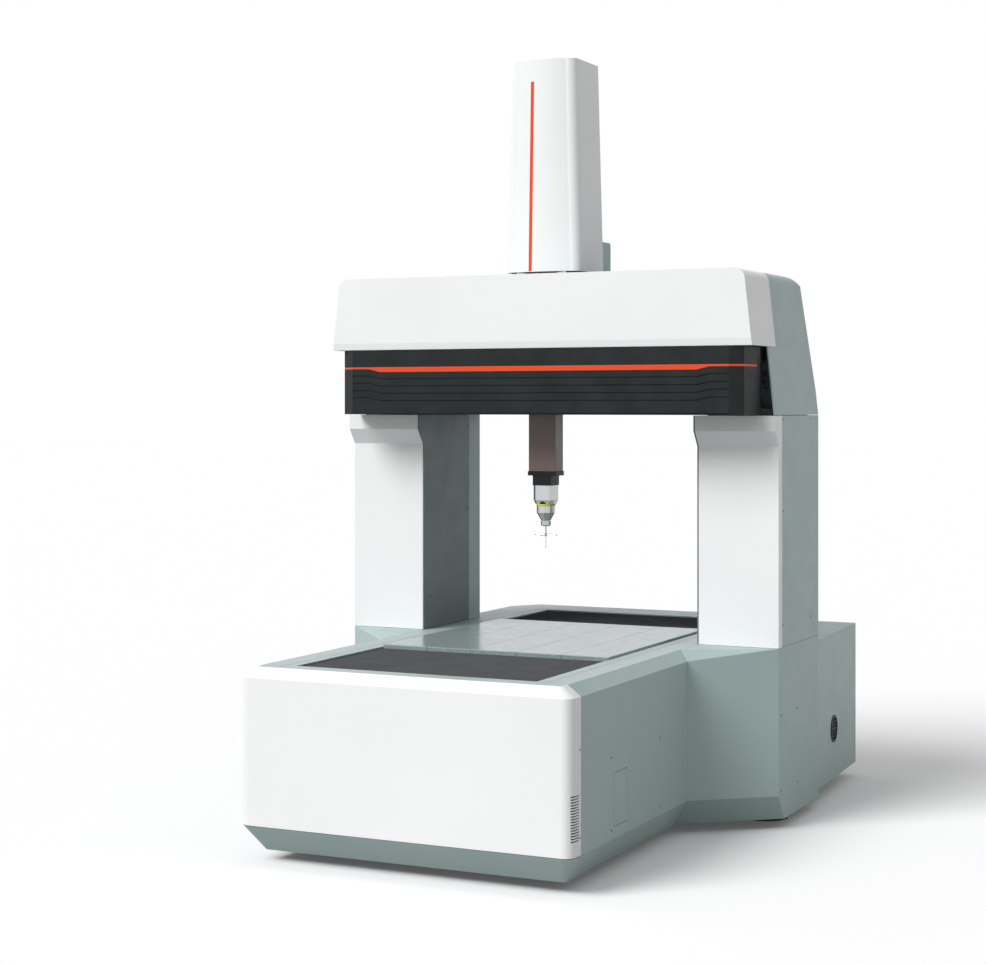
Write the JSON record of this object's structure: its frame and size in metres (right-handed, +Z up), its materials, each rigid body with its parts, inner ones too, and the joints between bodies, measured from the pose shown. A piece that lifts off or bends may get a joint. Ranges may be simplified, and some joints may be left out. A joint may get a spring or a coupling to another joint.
{
  "type": "coordinate measuring machine",
  "caption": "Fixed-bridge coordinate measuring machine: granite table slides on a covered base, a carriage crosses the bridge and a ram lowers a touch probe.",
  "frame": {"origin": "on the floor, in the middle of the machine's width and depth at rest", "axes": "+Z up, +X to the operator's right, +Y away from the operator who stands at the front of the table"},
  "size_m": [1.8846, 2.666, 3.064],
  "materials": {
    "cast_iron": "painted cast iron, satin",
    "black_steel": "black oxide",
    "frame_paint": "satin",
    "white_paint": "fine satin paint",
    "gray_paint": "fine textured satin paint",
    "black_plastic": "satin moulded plastic",
    "ground_steel": "ground",
    "bellows_rubber": "pleated coated fabric",
    "orange_paint": "semi-gloss",
    "granite": "lapped fine-grained stone",
    "aluminium": "machined",
    "cast_aluminium": "cast, bead blasted",
    "ceramic_brown": "lapped ceramic",
    "silver": "satin anodised",
    "yellow_paint": "anodised",
    "ceramic_steel": "ground",
    "ruby": "polished synthetic ruby"
  },
  "bodies": {
    "base": {"base_casting": "cast_iron", "levelling_mounts": "black_steel", "cover_frame": "frame_paint", "front_cover": "white_paint", "front_plinth": "gray_paint", "side_panel_left": "gray_paint", "side_panel_right": "gray_paint", "service_panel": "gray_paint", "wing_cover_right": "gray_paint", "wing_cover_left": "gray_paint", "rear_cover": "gray_paint", "rear_cabinet": "gray_paint", "fan_ring": "black_plastic", "top_frame": "gray_paint", "guideways": "ground_steel", "linear_scales": "ground_steel", "screw_bearings": "ground_steel", "drive_motors": "black_plastic", "front_bellows": "bellows_rubber", "rear_bellows": "bellows_rubber", "column_castings": "cast_iron", "column_front_cover_right": "white_paint", "column_front_cover_left": "white_paint", "column_inner_covers": "gray_paint", "column_side_covers": "gray_paint", "cross_beam": "cast_iron", "bridge_front_cover": "white_paint", "bridge_side_cover_right": "gray_paint", "bridge_side_cover_left": "gray_paint", "bridge_rear_cover": "gray_paint", "bridge_bottom_cover": "black_plastic", "fascia": "black_plastic", "fascia_stripe": "orange_paint", "cover_screws": "black_steel"},
    "fan_wheel": {"fan_rotor": "black_plastic"},
    "table_screw": {"y_screw": "ground_steel"},
    "carriage_screw": {"x_screw": "ground_steel"},
    "ram_screw": {"z_screw": "ground_steel"},
    "table": {"table_top": "granite", "saddle": "cast_iron", "table_air_pads": "aluminium", "y_nut": "ground_steel"},
    "carriage": {"carriage": "cast_aluminium", "carriage_air_pads": "aluminium", "x_nut": "ground_steel", "tower_cover": "white_paint", "tower_stripe": "orange_paint", "cable_box": "gray_paint", "z_mast": "cast_aluminium", "z_motor": "black_plastic"},
    "ram": {"ram": "ceramic_brown", "z_nut": "ground_steel", "probe_adapter": "black_plastic", "probe_head": "silver", "probe_ring": "yellow_paint", "probe_nose": "silver"},
    "probe_x_stage": {"probe_x_stage": "aluminium"},
    "probe_y_stage": {"probe_y_stage": "aluminium"},
    "stylus": {"stylus": "ceramic_steel", "stylus_balls": "ruby"}
  },
  "joints": [
    {"name": "table_slide", "type": "slide", "parent": "base", "child": "table", "axis": [0, 1, 0], "range_m": [-0.567, 0.443], "deforming": ["front_bellows", "rear_bellows"]},
    {"name": "carriage_slide", "type": "slide", "parent": "base", "child": "carriage", "axis": [1, 0, 0], "range_m": [-0.398, 0.512]},
    {"name": "ram_slide", "type": "slide", "parent": "carriage", "child": "ram", "axis": [0, 0, 1], "range_m": [-0.345, 0.26]},
    {"name": "table_screw_spin", "type": "hinge", "parent": "base", "child": "table_screw", "pos_m": [0, -0.05, 0.508], "axis": [0, 1, 0], "range_deg": [-10266, 8034]},
    {"name": "carriage_screw_spin", "type": "hinge", "parent": "base", "child": "carriage_screw", "pos_m": [0, 0.1975, 1.86], "axis": [1, 0, 0], "range_deg": [-7225, 9276]},
    {"name": "ram_screw_spin", "type": "hinge", "parent": "carriage", "child": "ram_screw", "pos_m": [-0.057, 0.14, 2.6], "axis": [0, 0, 1], "range_deg": [-6270, 4740]},
    {"name": "fan_spin", "type": "hinge", "parent": "base", "child": "fan_wheel", "pos_m": [0.90713, 0.898, 0.272], "axis": [0.9983, 0.0577, 0], "continuous": true},
    {"name": "probe_x_deflect", "type": "slide", "parent": "ram", "child": "probe_x_stage", "axis": [1, 0, 0], "range_m": [-0.001, 0.001], "stiffness_N_per_m": 2000},
    {"name": "probe_y_deflect", "type": "slide", "parent": "probe_x_stage", "child": "probe_y_stage", "axis": [0, 1, 0], "range_m": [-0.001, 0.001], "stiffness_N_per_m": 2000},
    {"name": "stylus_deflect", "type": "slide", "parent": "probe_y_stage", "child": "stylus", "axis": [0, 0, 1], "range_m": [-0.001, 0.001], "stiffness_N_per_m": 4000}
  ],
  "couplings": [
    {"joint": "table_screw_spin", "follows": "table_slide", "rad_per_m": 314.16},
    {"joint": "carriage_screw_spin", "follows": "carriage_slide", "rad_per_m": 314.16},
    {"joint": "ram_screw_spin", "follows": "ram_slide", "rad_per_m": 314.16}
  ]
}
